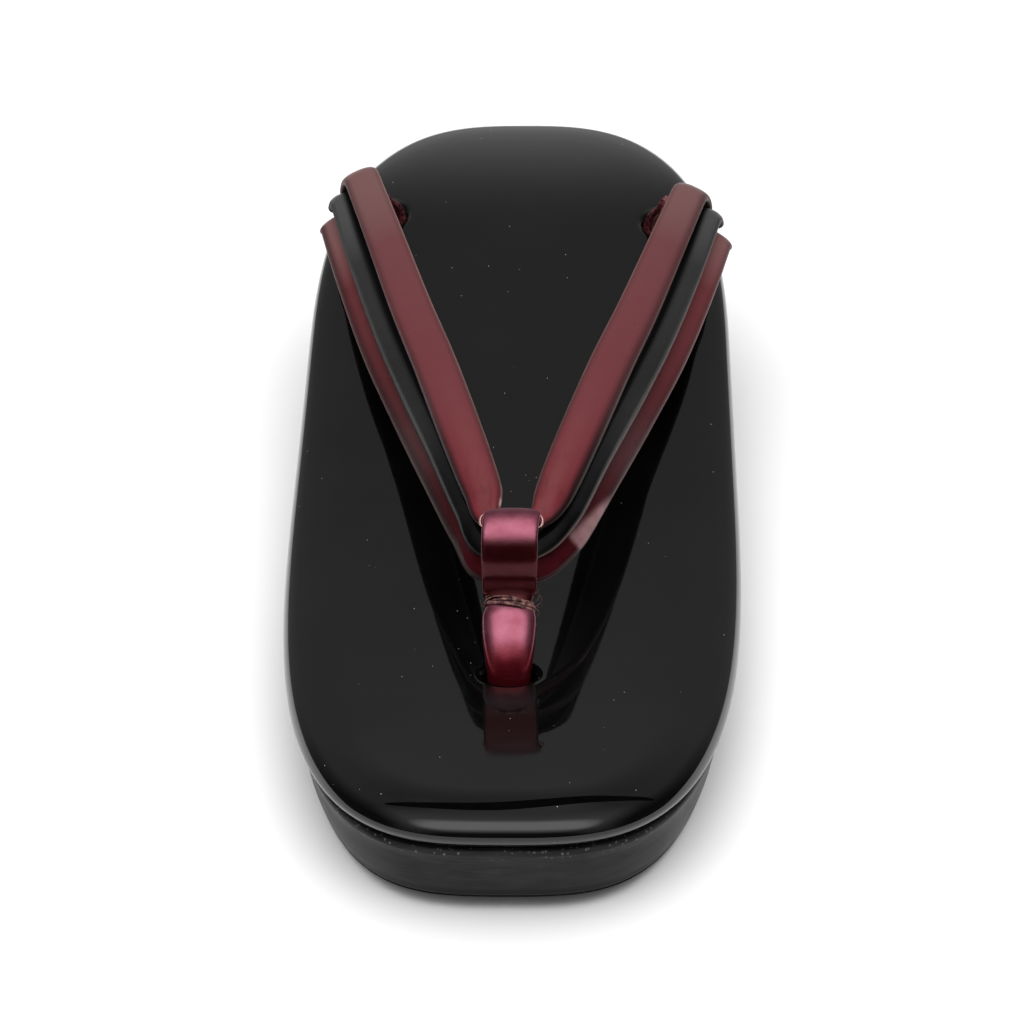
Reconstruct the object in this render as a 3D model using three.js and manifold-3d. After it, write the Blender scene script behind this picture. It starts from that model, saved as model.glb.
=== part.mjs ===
// One zori: a wedge sole with a padded patent footbed and a three-strand thong held by a front loop.
// Millimetres. Toe towards -Y, heel towards +Y, +Z up, the floor at z = 0.
import * as THREE from 'three';
import Module from 'manifold-3d';

const wasm = await Module();
wasm.setup();

// Driving sizes of the sole and the footbed.
const LENGTH = 240;
const HALF_WIDTH = 42.7;
const BALL_Y = 2;
const HEEL_Y = 38;
const TOE_ROUNDNESS = 3.03;
const HEEL_ROUNDNESS = 2.88;
const EDGE_HEIGHT = { toe: 18, front: 8, rear: 24, heel: 40.6 };
const TOE_SPRING = 4.0;
const SPRING_START_Y = -58;
const SEAM_GAP = 0.3;
const OUTLINE_STEPS = 36;

// Rolled edge of the footbed: inset from the outline and height from the middle of the roll, along the sides,
// at the toe, where the face stays level up to the roll, and at the heel, where it is rounder.
const FOOTBED_RINGS = [
  { inset: 12, side: -3.0, toe: -3.0, heel: -3.0 },
  { inset: 3.2, side: -3.0, toe: -3.0, heel: -3.0 },
  { inset: 2.0, side: -2.6, toe: -2.6, heel: -2.6 },
  { inset: 1.0, side: -1.8, toe: -1.8, heel: -1.8 },
  { inset: 0.3, side: -0.8, toe: -0.9, heel: -0.9 },
  { inset: 0.0, side: 0.2, toe: 0.0, heel: 0.0 },
  { inset: 0.4, side: 1.5, toe: 1.05, heel: 1.0 },
  { inset: 1.1, side: 2.45, toe: 1.95, heel: 1.6 },
  { inset: 2.3, side: 3.25, toe: 2.8, heel: 2.3 },
  { inset: 4.3, side: 3.95, toe: 3.65, heel: 3.05 },
  { inset: 6.2, side: 4.35, toe: 4.4, heel: 3.65 },
  { inset: 8.5, side: 4.7, toe: 4.86, heel: 4.2 },
  { inset: 12, side: 4.9, toe: 4.96, heel: 4.75 },
  { inset: 18, side: 5.0, toe: 5.0, heel: 5.0 },
];
const FOOTBED_ENDS = { from: 88, to: 112 };
const FOOTBED_BOTTOM = 3.0;
const FOOTBED_TOP = 5.0;

// Side of the sole: inset from the outline, height from its top edge or from its underside.
const SOLE_RINGS = [
  { inset: 4.4, from: 'bottom', rise: 0 },
  { inset: 3.6, from: 'bottom', rise: 0.8 },
  { inset: 2.5, from: 'middle', rise: 0 },
  { inset: 1.6, from: 'top', rise: -0.9 },
  { inset: 2.3, from: 'top', rise: 0 },
  { inset: 12, from: 'top', rise: 0 },
];

// Holes of the footbed, ovals wide across and long along it: a soft funnel where the leather is drawn in.
const FRONT_HOLE = { x: 0, y: -71.6, wide: 4.4, long: 3.0 };
const REAR_HOLES = {
  left: { x: -28.9, y: 82.4, wide: 4.3, long: 4.3 },
  right: { x: 30.1, y: 79.2, wide: 4.3, long: 4.3 },
};
const HOLE_FUNNEL = [
  { flare: 0, depth: 12 },
  { flare: 0, depth: 2.6 },
  { flare: 0.4, depth: 1.2 },
  { flare: 1.3, depth: 0.35 },
  { flare: 2.6, depth: -0.1 },
  { flare: 2.6, depth: -3 },
];
const HOLE_STEPS = 20;

// The strands, from the middle of the loop to the rear of the right side; the left side mirrors it.
// x, y: centre line; rise: height over the footbed; tilt: outward slope of the face in degrees;
// half: half width; thick: half thickness. The end turns down round an arc and runs on a little as a tail.
// The reach draws each leg's own end back, or forward where it is below nought.
const STRANDS = {
  hanao_inner: {
    rows: [
      { x: 0.0, y: -54.8, rise: 19.4, tilt: 12, half: 1.7, thick: 0.7 },
      { x: 4.7, y: -51.4, rise: 20.0, tilt: 14, half: 2.4, thick: 0.8 },
      { x: 6.6, y: -44.0, rise: 21.0, tilt: 12, half: 3.6, thick: 1.4 },
      { x: 10.8, y: -25.0, rise: 20.6, tilt: 11, half: 4.1, thick: 1.5 },
      { x: 16.6, y: 3.0, rise: 17.5, tilt: 16, half: 4.2, thick: 1.45 },
      { x: 22.3, y: 26.0, rise: 15.4, tilt: 17, half: 4.1, thick: 1.35 },
      { x: 28.1, y: 50.0, rise: 13.5, tilt: 18, half: 3.9, thick: 1.25 },
      { x: 33.3, y: 70.0, rise: 12.5, tilt: 18, half: 3.7, thick: 1.25 },
    ],
    bend: { radius: 8.2, degrees: 72, tail: 0.5 },
    reach: { left: 4, right: -1.7 },
    squareness: 2.3,
  },
  hanao_middle: {
    rows: [
      { x: 0.0, y: -56.8, rise: 15.9, tilt: 38, half: 2.0, thick: 0.75 },
      { x: 5.4, y: -54.0, rise: 16.2, tilt: 30, half: 2.2, thick: 1.0 },
      { x: 9.1, y: -45.4, rise: 17.2, tilt: 18, half: 2.4, thick: 1.45 },
      { x: 14.3, y: -25.6, rise: 16.75, tilt: 16, half: 2.6, thick: 1.6 },
      { x: 21.2, y: 2.4, rise: 12.7, tilt: 18, half: 2.7, thick: 1.75 },
      { x: 27.2, y: 25.4, rise: 10.4, tilt: 19, half: 2.7, thick: 1.75 },
      { x: 32.9, y: 49.4, rise: 8.5, tilt: 20, half: 2.7, thick: 1.65 },
      { x: 37.2, y: 68.0, rise: 7.9, tilt: 20, half: 2.7, thick: 1.5 },
    ],
    bend: { radius: 5.2, degrees: 60, tail: 0.3 },
    reach: { left: 5, right: -0.5 },
    squareness: 2.1,
  },
  hanao_outer: {
    rows: [
      { x: 0.0, y: -57.7, rise: 12.6, tilt: 60, half: 2.2, thick: 0.7 },
      { x: 5.5, y: -55.2, rise: 12.4, tilt: 54, half: 2.7, thick: 0.85 },
      { x: 8.8, y: -46.8, rise: 13.4, tilt: 40, half: 3.6, thick: 1.15 },
      { x: 14.4, y: -26.4, rise: 13.1, tilt: 28, half: 4.2, thick: 1.25 },
      { x: 21.4, y: 1.8, rise: 8.4, tilt: 28, half: 4.3, thick: 1.25 },
      { x: 28.0, y: 24.8, rise: 6.2, tilt: 28, half: 4.3, thick: 1.25 },
      { x: 34.0, y: 48.8, rise: 4.3, tilt: 27, half: 4.2, thick: 1.25 },
      { x: 38.2, y: 65.0, rise: 3.3, tilt: 26, half: 3.6, thick: 1.25 },
    ],
    bend: { radius: 2.8, degrees: 45, tail: 0.3 },
    reach: { left: 8, right: 2.5 },
    squareness: 2.3,
  },
};
// The two legs of the thong sit a little to one side of the middle behind the loop. A leg's reach grows from
// the first to the second of its places, and spreads the leg outwards by a share of it.
const SWAY = { shift: 1.5, from: -59, to: -44 };
const REACH = { from: 0, to: 66, outward: 0.22 };
const STRAND_STEPS = 4;
const BEND_STEPS = 5;
const STRAND_SIDES = 12;
// Rounding of a strand's cut end: share of the thickness that it stands out, and its size.
const STRAND_TIP = { reach: 0.6, size: 0.8 };

// Front loop, a flat band seen from the side, closed at the neck; heights are over the footbed at its hole.
const LOOP_ROWS = [
  { y: -61.6, rise: 10.0, half: 4.6 },
  { y: -60.4, rise: 13.2, half: 4.9 },
  { y: -59.5, rise: 16.6, half: 5.0 },
  { y: -57.9, rise: 19.7, half: 5.0 },
  { y: -55.2, rise: 21.8, half: 5.0 },
  { y: -53.2, rise: 22.2, half: 4.8 },
  { y: -51.7, rise: 21.4, half: 1.9 },
  { y: -50.4, rise: 19.0, half: 1.0 },
  { y: -51.0, rise: 15.6, half: 1.0 },
  { y: -53.6, rise: 11.6, half: 1.6 },
  { y: -57.6, rise: 9.2, half: 3.0 },
];
const LOOP_THICK = 0.7;
const LOOP_STEPS = 4;
const LOOP_SIDES = 12;
const LOOP_SQUARENESS = 3;

// Stem of the loop, from inside its neck down into the front hole.
const STEM_ROWS = [
  { y: -60.2, rise: 10.2, half: 4.3, thick: 1.3 },
  { y: -62.0, rise: 9.9, half: 4.3, thick: 1.8 },
  { y: -63.6, rise: 9.0, half: 4.1, thick: 1.9 },
  { y: -65.6, rise: 7.6, half: 4.8, thick: 2.2 },
  { y: -68.9, rise: 4.4, half: 4.6, thick: 2.3 },
  { y: -71.2, rise: 0.6, half: 4.0, thick: 2.2 },
  { y: -71.9, rise: -4.0, half: 3.7, thick: 2.1 },
  { y: -72.0, rise: -7.9, half: 3.5, thick: 2.1 },
];
const STEM_STEPS = 2;
const STEM_SIDES = 16;
const STEM_SQUARENESS = 2.5;

// Crumpled tie round the neck.
const BINDING = {
  row: 2, clearance: 0.42, frontClearance: 0.75, section: 0.45, height: 0.8, wobble: 0.12, folds: 7,
  squareness: 2,
};
const BINDING_STEPS = 28;
const BINDING_SIDES = 8;

// Gathered leather at each rear hole, from under the strands down into it: outward and rearward of the hole.
const GATHER_ROWS = [
  { x: 0.9, y: -8.6, rise: 10.8, radius: 1.6 },
  { x: 0.6, y: -7.6, rise: 8.4, radius: 2.2 },
  { x: 0.4, y: -5.4, rise: 6.0, radius: 2.8 },
  { x: 0.2, y: -3.0, rise: 3.6, radius: 3.3 },
  { x: 0.1, y: -1.0, rise: 1.0, radius: 3.5 },
  { x: 0.0, y: 0.0, rise: -2.0, radius: 3.6 },
  { x: 0.0, y: 0.0, rise: -7.4, radius: 3.6 },
];
const GATHER_FOLDS = 6;
const GATHER_FOLD_DEPTH = 0.12;
const GATHER_SIDES = 24;

// Half step for directions along a table, and samples of the outline before it is spaced evenly.
const NUDGE = 0.02;
const OUTLINE_SAMPLES = 2000;

// Materials, one per kind of leather.
const MATERIALS = {
  patent: { color: 0x1a1b1c, roughness: 0.12 },
  wrap: { color: 0x2c2d2e, roughness: 0.4 },
  burgundy: { color: 0x6e2e3a, roughness: 0.35 },
  black_strand: { color: 0x202122, roughness: 0.35 },
  pearl: { color: 0x8c3c4e, roughness: 0.3 },
};
const surfaces = {};
for (const [name, look] of Object.entries(MATERIALS)) {
  surfaces[name] = new THREE.MeshStandardMaterial({ name, ...look });
}

const group = new THREE.Group();
group.name = 'zori';

// Value of one column of a table between its rows, on a smooth curve through all of them.
function smooth(rows, column, at) {
  const last = rows.length - 1;
  const i = Math.min(Math.max(Math.floor(at), 0), last - 1);
  const t = at - i;
  const value = (k) => rows[Math.min(Math.max(k, 0), last)][column];
  const leaving = i > 0 ? (value(i + 1) - value(i - 1)) / 2 : value(1) - value(0);
  const arriving = i + 1 < last ? (value(i + 2) - value(i)) / 2 : value(last) - value(last - 1);
  const a = value(i);
  const b = value(i + 1);
  const t2 = t * t;
  const t3 = t2 * t;
  const near = a * (2 * t3 - 3 * t2 + 1) + leaving * (t3 - 2 * t2 + t);
  const far = b * (3 * t2 - 2 * t3) + arriving * (t3 - t2);
  return near + far;
}

// From nought to one between two values, level at both.
function softStep(value, low, high) {
  const t = Math.min(1, Math.max(0, (value - low) / (high - low)));
  return t * t * (3 - 2 * t);
}

// Height of the middle of the rolled edge along the length.
function edgeHeight(y) {
  const s = y / LENGTH + 0.5;
  const r = 1 - s;
  const { toe, front, rear, heel } = EDGE_HEIGHT;
  return toe * r ** 3 + 3 * front * s * r ** 2 + 3 * rear * s ** 2 * r + heel * s ** 3;
}

function bedTop(y) {
  return edgeHeight(y) + FOOTBED_TOP;
}

// Underside of the sole: flat, lifted at the toe.
function underside(y) {
  const forward = Math.max(0, (SPRING_START_Y - y) / (SPRING_START_Y + LENGTH / 2));
  return TOE_SPRING * forward ** 2;
}

function sway(y) {
  return SWAY.shift * softStep(y, SWAY.from, SWAY.to);
}

// Half width of the outline at a place along the length.
function halfWidth(y) {
  const toe = Math.min(1, Math.max(0, (BALL_Y - y) / (BALL_Y + LENGTH / 2)));
  const heel = Math.min(1, Math.max(0, (y - HEEL_Y) / (LENGTH / 2 - HEEL_Y)));
  const atToe = (1 - toe ** TOE_ROUNDNESS) ** (1 / TOE_ROUNDNESS);
  const atHeel = (1 - heel ** HEEL_ROUNDNESS) ** (1 / HEEL_ROUNDNESS);
  return HALF_WIDTH * atToe * atHeel;
}

// Evenly spaced points of the right half of the outline, toe to heel, each with its inward direction.
function halfOutline(steps) {
  const dense = [];
  for (let k = 0; k <= OUTLINE_SAMPLES; k++) {
    const y = -Math.cos((Math.PI * k) / OUTLINE_SAMPLES) * (LENGTH / 2);
    dense.push(new THREE.Vector2(halfWidth(y), y));
  }
  const run = [0];
  for (let k = 1; k <= OUTLINE_SAMPLES; k++) run.push(run[k - 1] + dense[k].distanceTo(dense[k - 1]));
  const points = [];
  let k = 0;
  for (let i = 0; i <= steps; i++) {
    const target = (run[OUTLINE_SAMPLES] * i) / steps;
    while (k < OUTLINE_SAMPLES - 1 && run[k + 1] < target) k++;
    const part = (target - run[k]) / (run[k + 1] - run[k]);
    points.push(dense[k].clone().lerp(dense[k + 1], part));
  }
  return points.map((point, i) => {
    const mirrored = (q) => new THREE.Vector2(-q.x, q.y);
    const before = i > 0 ? points[i - 1] : mirrored(points[1]);
    const after = i < steps ? points[i + 1] : mirrored(points[steps - 1]);
    const along = after.clone().sub(before).normalize();
    return { point, inward: new THREE.Vector2(-along.y, along.x) };
  });
}
const HALF_OUTLINE = halfOutline(OUTLINE_STEPS);

// One closed ring of the outline, moved inwards, with a height for each place along the length.
function outlineRing(inset, heightAt) {
  const right = HALF_OUTLINE.map(({ point, inward }) => point.clone().addScaledVector(inward, inset));
  right[0].x = 0;
  right[OUTLINE_STEPS].x = 0;
  const ring = right.map((q) => new THREE.Vector3(q.x, q.y, heightAt(q.y)));
  const left = ring.slice(1, OUTLINE_STEPS).reverse();
  return [...ring, ...left.map((q) => new THREE.Vector3(-q.x, q.y, q.z))];
}

// Closed solid from its points and triangles, turned the right way out.
function solid(points, triangles) {
  let volume = 0;
  for (const [a, b, c] of triangles) {
    volume += points[a].dot(new THREE.Vector3().crossVectors(points[b], points[c]));
  }
  const faces = volume < 0 ? triangles.map(([a, b, c]) => [a, c, b]) : triangles;
  const vertProperties = new Float32Array(points.flatMap((q) => [q.x, q.y, q.z]));
  const triVerts = new Uint32Array(faces.flat());
  return new wasm.Manifold(new wasm.Mesh({ numProp: 3, vertProperties, triVerts }));
}

// Triangles between rings of equal size, one after the other.
function skin(ringCount, size, closed) {
  const triangles = [];
  const spans = closed ? ringCount : ringCount - 1;
  for (let r = 0; r < spans; r++) {
    const low = r * size;
    const high = ((r + 1) % ringCount) * size;
    for (let i = 0; i < size; i++) {
      const j = (i + 1) % size;
      triangles.push([low + i, low + j, high + j], [low + i, high + j, high + i]);
    }
  }
  return triangles;
}

// Cap of an outline ring made of strips across it, so that it follows the curve of the length.
function capAcross(start, flip) {
  const size = 2 * OUTLINE_STEPS;
  const left = (i) => start + ((size - i) % size);
  const right = (i) => start + i;
  const triangles = [];
  for (let i = 0; i < OUTLINE_STEPS; i++) {
    if (i > 0) triangles.push([left(i), right(i), right(i + 1)]);
    if (i + 1 < OUTLINE_STEPS) triangles.push([left(i), right(i + 1), left(i + 1)]);
  }
  return flip ? triangles.map(([a, b, c]) => [a, c, b]) : triangles;
}

function outlineSolid(rings) {
  const size = 2 * OUTLINE_STEPS;
  const triangles = skin(rings.length, size, false);
  triangles.push(...capAcross(0, true), ...capAcross((rings.length - 1) * size, false));
  return solid(rings.flat(), triangles);
}

// Rings with a rounded, fanned cap at each end.
function tube(rings) {
  const size = rings[0].length;
  const triangles = skin(rings.length, size, false);
  const points = rings.flat();
  const ends = [[0, true], [rings.length - 1, false]];
  for (const [r, flip] of ends) {
    const middle = new THREE.Vector3();
    for (const q of rings[r]) middle.addScaledVector(q, 1 / size);
    const tip = points.push(middle) - 1;
    for (let i = 0; i < size; i++) {
      const a = r * size + i;
      const b = r * size + ((i + 1) % size);
      triangles.push(flip ? [tip, b, a] : [tip, a, b]);
    }
  }
  return solid(points, triangles);
}

function closedTube(rings) {
  return solid(rings.flat(), skin(rings.length, rings[0].length, true));
}

// Flattened oval ring in the plane of two axes.
function ovalRing(centre, wide, thin, half, thick, sides, squareness) {
  const ring = [];
  for (let k = 0; k < sides; k++) {
    const angle = (2 * Math.PI * k) / sides;
    const c = Math.cos(angle);
    const s = Math.sin(angle);
    const a = half * Math.sign(c) * Math.abs(c) ** (2 / squareness);
    const b = thick * Math.sign(s) * Math.abs(s) ** (2 / squareness);
    ring.push(centre.clone().addScaledVector(wide, a).addScaledVector(thin, b));
  }
  return ring;
}

function addNode(name, manifold, surface) {
  const { vertProperties, triVerts, numProp } = manifold.getMesh();
  const position = new Float32Array((vertProperties.length / numProp) * 3);
  for (let v = 0; v < position.length / 3; v++) {
    for (let k = 0; k < 3; k++) position[3 * v + k] = vertProperties[numProp * v + k];
  }
  const geometry = new THREE.BufferGeometry();
  geometry.setAttribute('position', new THREE.BufferAttribute(position, 3));
  geometry.setIndex(new THREE.BufferAttribute(new Uint32Array(triVerts), 1));
  geometry.computeVertexNormals();
  const mesh = new THREE.Mesh(geometry, surfaces[surface]);
  mesh.name = name;
  group.add(mesh);
}

// Sole: underside with toe spring, leaning side, top edge that follows the footbed.
function soleHeight({ from, rise }) {
  const top = (y) => edgeHeight(y) - FOOTBED_BOTTOM - SEAM_GAP;
  if (from === 'bottom') return (y) => underside(y) + rise;
  if (from === 'top') return (y) => top(y) + rise;
  return (y) => (underside(y) + top(y)) / 2 + rise;
}
addNode('sole', outlineSolid(SOLE_RINGS.map((row) => outlineRing(row.inset, soleHeight(row)))), 'wrap');

// Footbed with its holes.
function rollHeight({ side, toe, heel }) {
  return (y) => {
    const end = y < 0 ? toe : heel;
    const atEnd = softStep(Math.abs(y), FOOTBED_ENDS.from, FOOTBED_ENDS.to);
    return edgeHeight(y) + side + (end - side) * atEnd;
  };
}
function funnel({ x, y, wide, long }) {
  const rings = HOLE_FUNNEL.map(({ flare, depth }) => {
    const ring = [];
    for (let k = 0; k < HOLE_STEPS; k++) {
      const angle = (2 * Math.PI * k) / HOLE_STEPS;
      const px = x + (wide + flare) * Math.cos(angle);
      const py = y + (long + flare) * Math.sin(angle);
      ring.push(new THREE.Vector3(px, py, bedTop(py) - depth));
    }
    return ring;
  });
  return tube(rings);
}
let footbed = outlineSolid(FOOTBED_RINGS.map((row) => outlineRing(row.inset, rollHeight(row))));
for (const hole of [FRONT_HOLE, REAR_HOLES.left, REAR_HOLES.right]) footbed = footbed.subtract(funnel(hole));
addNode('footbed', footbed, 'patent');

// Rows of one leg of a strand, drawn back by the leg's own reach towards their end.
function legRows(rows, side, reach) {
  return rows.map((row) => {
    const extra = reach * softStep(row.y, REACH.from, REACH.to);
    return { ...row, x: side * (row.x + REACH.outward * extra), y: row.y + extra };
  });
}

// Frames along a strand: centre, outward and upward axes, for both legs and the bends at their ends.
function strandRings({ rows, bend, reach, squareness }) {
  const left = legRows(rows.slice(1), -1, reach.left).reverse();
  const full = [...left, ...legRows(rows, 1, reach.right)];
  const last = full.length - 1;
  const place = (at) => {
    const y = smooth(full, 'y', at);
    return new THREE.Vector3(smooth(full, 'x', at) + sway(y), y, bedTop(y) + smooth(full, 'rise', at));
  };
  const frames = [];
  for (let k = 0; k <= last * STRAND_STEPS; k++) {
    const at = k / STRAND_STEPS;
    const along = place(Math.min(at + NUDGE, last)).sub(place(Math.max(at - NUDGE, 0))).normalize();
    const out = new THREE.Vector3(along.y, -along.x, 0).normalize();
    const up = new THREE.Vector3().crossVectors(out, along);
    frames.push({
      centre: place(at), along, out, up,
      tilt: smooth(full, 'tilt', at), half: smooth(full, 'half', at), thick: smooth(full, 'thick', at),
    });
  }
  const bent = (frame, sign) => {
    const turned = [];
    const total = THREE.MathUtils.degToRad(bend.degrees);
    const away = frame.along.clone().multiplyScalar(sign);
    for (let k = 1; k <= BEND_STEPS; k++) {
      const angle = (total * k) / BEND_STEPS;
      const centre = frame.centre.clone()
        .addScaledVector(away, bend.radius * Math.sin(angle))
        .addScaledVector(frame.up, -bend.radius * (1 - Math.cos(angle)));
      const ahead = away.clone().multiplyScalar(Math.cos(angle)).addScaledVector(frame.up, -Math.sin(angle));
      const up = frame.up.clone().multiplyScalar(Math.cos(angle)).addScaledVector(away, Math.sin(angle));
      turned.push({ ...frame, centre, along: ahead, up });
    }
    const end = turned[BEND_STEPS - 1];
    const tip = { run: bend.tail + end.thick * STRAND_TIP.reach, size: STRAND_TIP.size };
    const tail = [{ run: bend.tail, size: 1 }, tip];
    for (const { run, size } of tail) {
      const centre = end.centre.clone().addScaledVector(end.along, run);
      turned.push({ ...end, centre, half: end.half * size, thick: end.thick * size });
    }
    return turned;
  };
  const all = [...bent(frames[0], -1).reverse(), ...frames, ...bent(frames[frames.length - 1], 1)];
  return all.map(({ centre, out, up, tilt, half, thick }) => {
    const slope = THREE.MathUtils.degToRad(tilt);
    const wide = out.clone().multiplyScalar(Math.cos(slope)).addScaledVector(up, -Math.sin(slope));
    const thin = out.clone().multiplyScalar(Math.sin(slope)).addScaledVector(up, Math.cos(slope));
    return ovalRing(centre, wide, thin, half, thick, STRAND_SIDES, squareness);
  });
}
const strandSurface = { hanao_inner: 'burgundy', hanao_middle: 'black_strand', hanao_outer: 'burgundy' };
for (const [name, strand] of Object.entries(STRANDS)) {
  addNode(name, tube(strandRings(strand)), strandSurface[name]);
}

// Front loop and stem, one folded strip.
const ACROSS = new THREE.Vector3(1, 0, 0);
const FRONT_BED = bedTop(FRONT_HOLE.y);
function stripPlace(rows, at) {
  const y = smooth(rows, 'y', at);
  return new THREE.Vector3(sway(y), y, FRONT_BED + smooth(rows, 'rise', at));
}
function loopRings() {
  const count = LOOP_ROWS.length;
  const lead = 2;
  const wrapped = [...LOOP_ROWS.slice(-lead), ...LOOP_ROWS, ...LOOP_ROWS.slice(0, lead + 1)];
  const rings = [];
  for (let k = 0; k < count * LOOP_STEPS; k++) {
    const at = lead + k / LOOP_STEPS;
    const along = stripPlace(wrapped, at + NUDGE).sub(stripPlace(wrapped, at - NUDGE)).normalize();
    const thin = new THREE.Vector3().crossVectors(ACROSS, along);
    const half = smooth(wrapped, 'half', at);
    const centre = stripPlace(wrapped, at);
    rings.push(ovalRing(centre, ACROSS, thin, half, LOOP_THICK, LOOP_SIDES, LOOP_SQUARENESS));
  }
  return rings;
}
function stemFrame(at) {
  const after = stripPlace(STEM_ROWS, Math.min(at + NUDGE, STEM_ROWS.length - 1));
  const before = stripPlace(STEM_ROWS, Math.max(at - NUDGE, 0));
  const along = after.sub(before).normalize();
  return {
    centre: stripPlace(STEM_ROWS, at),
    thin: new THREE.Vector3().crossVectors(ACROSS, along),
    half: smooth(STEM_ROWS, 'half', at),
    thick: smooth(STEM_ROWS, 'thick', at),
  };
}
function stemRings() {
  const rings = [];
  for (let k = 0; k <= (STEM_ROWS.length - 1) * STEM_STEPS; k++) {
    const { centre, thin, half, thick } = stemFrame(k / STEM_STEPS);
    rings.push(ovalRing(centre, ACROSS, thin, half, thick, STEM_SIDES, STEM_SQUARENESS));
  }
  return rings;
}
addNode('maetsubo', closedTube(loopRings()).add(tube(stemRings())), 'pearl');

// Tie round the neck: a ring that follows the stem's section, with small crumples.
function bindingRings() {
  const { centre, thin, half, thick } = stemFrame(BINDING.row);
  const axis = new THREE.Vector3().crossVectors(ACROSS, thin);
  const reach = half + BINDING.clearance + BINDING.section;
  const frontReach = thick + BINDING.frontClearance + BINDING.section;
  const rings = [];
  for (let k = 0; k < BINDING_STEPS; k++) {
    const angle = (2 * Math.PI * k) / BINDING_STEPS;
    const away = ACROSS.clone().multiplyScalar(Math.cos(angle)).addScaledVector(thin, Math.sin(angle));
    const middle = centre.clone()
      .addScaledVector(ACROSS, reach * Math.cos(angle))
      .addScaledVector(thin, frontReach * Math.sin(angle));
    const swell = 1 + BINDING.wobble * Math.cos(BINDING.folds * angle);
    const height = BINDING.height * swell;
    rings.push(ovalRing(middle, away, axis, BINDING.section, height, BINDING_SIDES, BINDING.squareness));
  }
  return rings;
}
addNode('maetsubo_binding', closedTube(bindingRings()), 'burgundy');

// Gathered leather at the rear holes.
function gatherRings(hole) {
  const side = Math.sign(hole.x);
  return GATHER_ROWS.map(({ x, y, rise, radius }) => {
    const ring = [];
    for (let k = 0; k < GATHER_SIDES; k++) {
      const angle = (2 * Math.PI * k) / GATHER_SIDES;
      const fold = radius * (1 + GATHER_FOLD_DEPTH * Math.cos(GATHER_FOLDS * angle));
      const px = hole.x + side * (x + fold * Math.cos(angle));
      const py = hole.y + y + fold * Math.sin(angle);
      ring.push(new THREE.Vector3(px, py, bedTop(hole.y + y) + rise));
    }
    return ring;
  });
}
for (const [side, hole] of Object.entries(REAR_HOLES)) {
  addNode(`rear_gather_${side}`, tube(gatherRings(hole)), 'burgundy');
}

export default group;
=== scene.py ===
# One zori on a plain pale floor: a wrapped wedge sole, a padded patent footbed and a three-strand thong.
# Sizes are in millimetres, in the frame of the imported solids: toe towards -Y, heel towards +Y, +Z up.
from math import copysign, cos, exp, hypot, pi, radians, sin

import bpy
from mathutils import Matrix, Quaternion, Vector, noise
from mathutils.bvhtree import BVHTree


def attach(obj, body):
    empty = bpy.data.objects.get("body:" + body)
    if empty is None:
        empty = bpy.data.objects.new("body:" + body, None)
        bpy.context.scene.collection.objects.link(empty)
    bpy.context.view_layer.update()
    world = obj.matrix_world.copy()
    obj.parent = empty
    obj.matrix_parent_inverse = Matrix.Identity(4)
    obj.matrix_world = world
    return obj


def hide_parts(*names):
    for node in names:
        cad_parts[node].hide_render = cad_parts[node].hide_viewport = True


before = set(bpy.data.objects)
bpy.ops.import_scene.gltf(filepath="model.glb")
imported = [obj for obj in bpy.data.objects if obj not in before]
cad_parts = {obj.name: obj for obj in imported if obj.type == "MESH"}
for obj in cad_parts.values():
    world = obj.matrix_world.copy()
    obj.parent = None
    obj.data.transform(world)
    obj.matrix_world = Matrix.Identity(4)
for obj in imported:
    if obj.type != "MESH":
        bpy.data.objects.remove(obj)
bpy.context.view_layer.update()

MM = 0.001
scene = bpy.context.scene

# Driving sizes of the sole and the footbed, as in the solids.
LENGTH = 240
HALF_WIDTH = 42.7
BALL_Y = 2
HEEL_Y = 38
TOE_ROUNDNESS = 3.03
HEEL_ROUNDNESS = 2.88
EDGE_HEIGHT = (18, 8, 24, 40.6)
TOE_SPRING = 4.0
SPRING_START_Y = -58
SEAM_GAP = 0.3
FOOTBED_BOTTOM = 3.0
FOOTBED_TOP = 5.0
OUTLINE_SAMPLES = 4000


def table(columns, rows):
    """Rows of a table as dicts with named columns."""
    return [dict(zip(columns, row)) for row in rows]


# Rolled edge of the footbed: inset from the outline, height over the middle of the roll at the sides, the toe
# and the heel, and steps to the next ring.
FOOTBED_RINGS = table(("inset", "side", "toe", "heel", "steps"), (
    (12, -3.0, -3.0, -3.0, 1), (3.2, -3.0, -3.0, -3.0, 3), (2.0, -2.6, -2.6, -2.6, 3),
    (1.0, -1.8, -1.8, -1.8, 3), (0.3, -0.8, -0.9, -0.9, 3), (0.0, 0.2, 0.0, 0.0, 3),
    (0.4, 1.5, 1.05, 1.0, 4), (1.1, 2.45, 1.95, 1.6, 4), (2.3, 3.25, 2.8, 2.3, 6),
    (4.3, 3.95, 3.65, 3.05, 8), (6.2, 4.35, 4.4, 3.65, 12), (8.5, 4.7, 4.86, 4.2, 8),
    (12, 4.9, 4.96, 4.75, 10), (18, 5.0, 5.0, 5.0, 0),
))
# Distance from the middle where the heights of the sides change to those of the ends.
FOOTBED_ENDS = (88, 112)
# Height on the roll where the dents of the face set in.
DENT_START = (2.6, 4.2)
# Painted reflection on the patent, growing towards the heel.
HEEL_SHEEN = (70, 125)
FOOTBED_STEPS = 360
FOOTBED_COLUMNS = 96

# Side of the sole: inset from the outline, share of the height, and rise from there.
SOLE_RINGS = table(("inset", "share", "rise"), (
    (12, 0, 0), (4.9, 0, 0), (4.4, 0, 0.15), (3.9, 0, 0.7), (3.5, 0.1, 0.8), (3.0, 0.3, 0), (2.5, 0.5, 0),
    (2.1, 0.75, 0), (1.6, 1, -1.1), (1.65, 1, -0.6), (2.0, 1, -0.2), (2.7, 1, 0), (12, 1, 0),
))
SOLE_STEPS = 240
SOLE_RING_STEPS = 4
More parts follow.
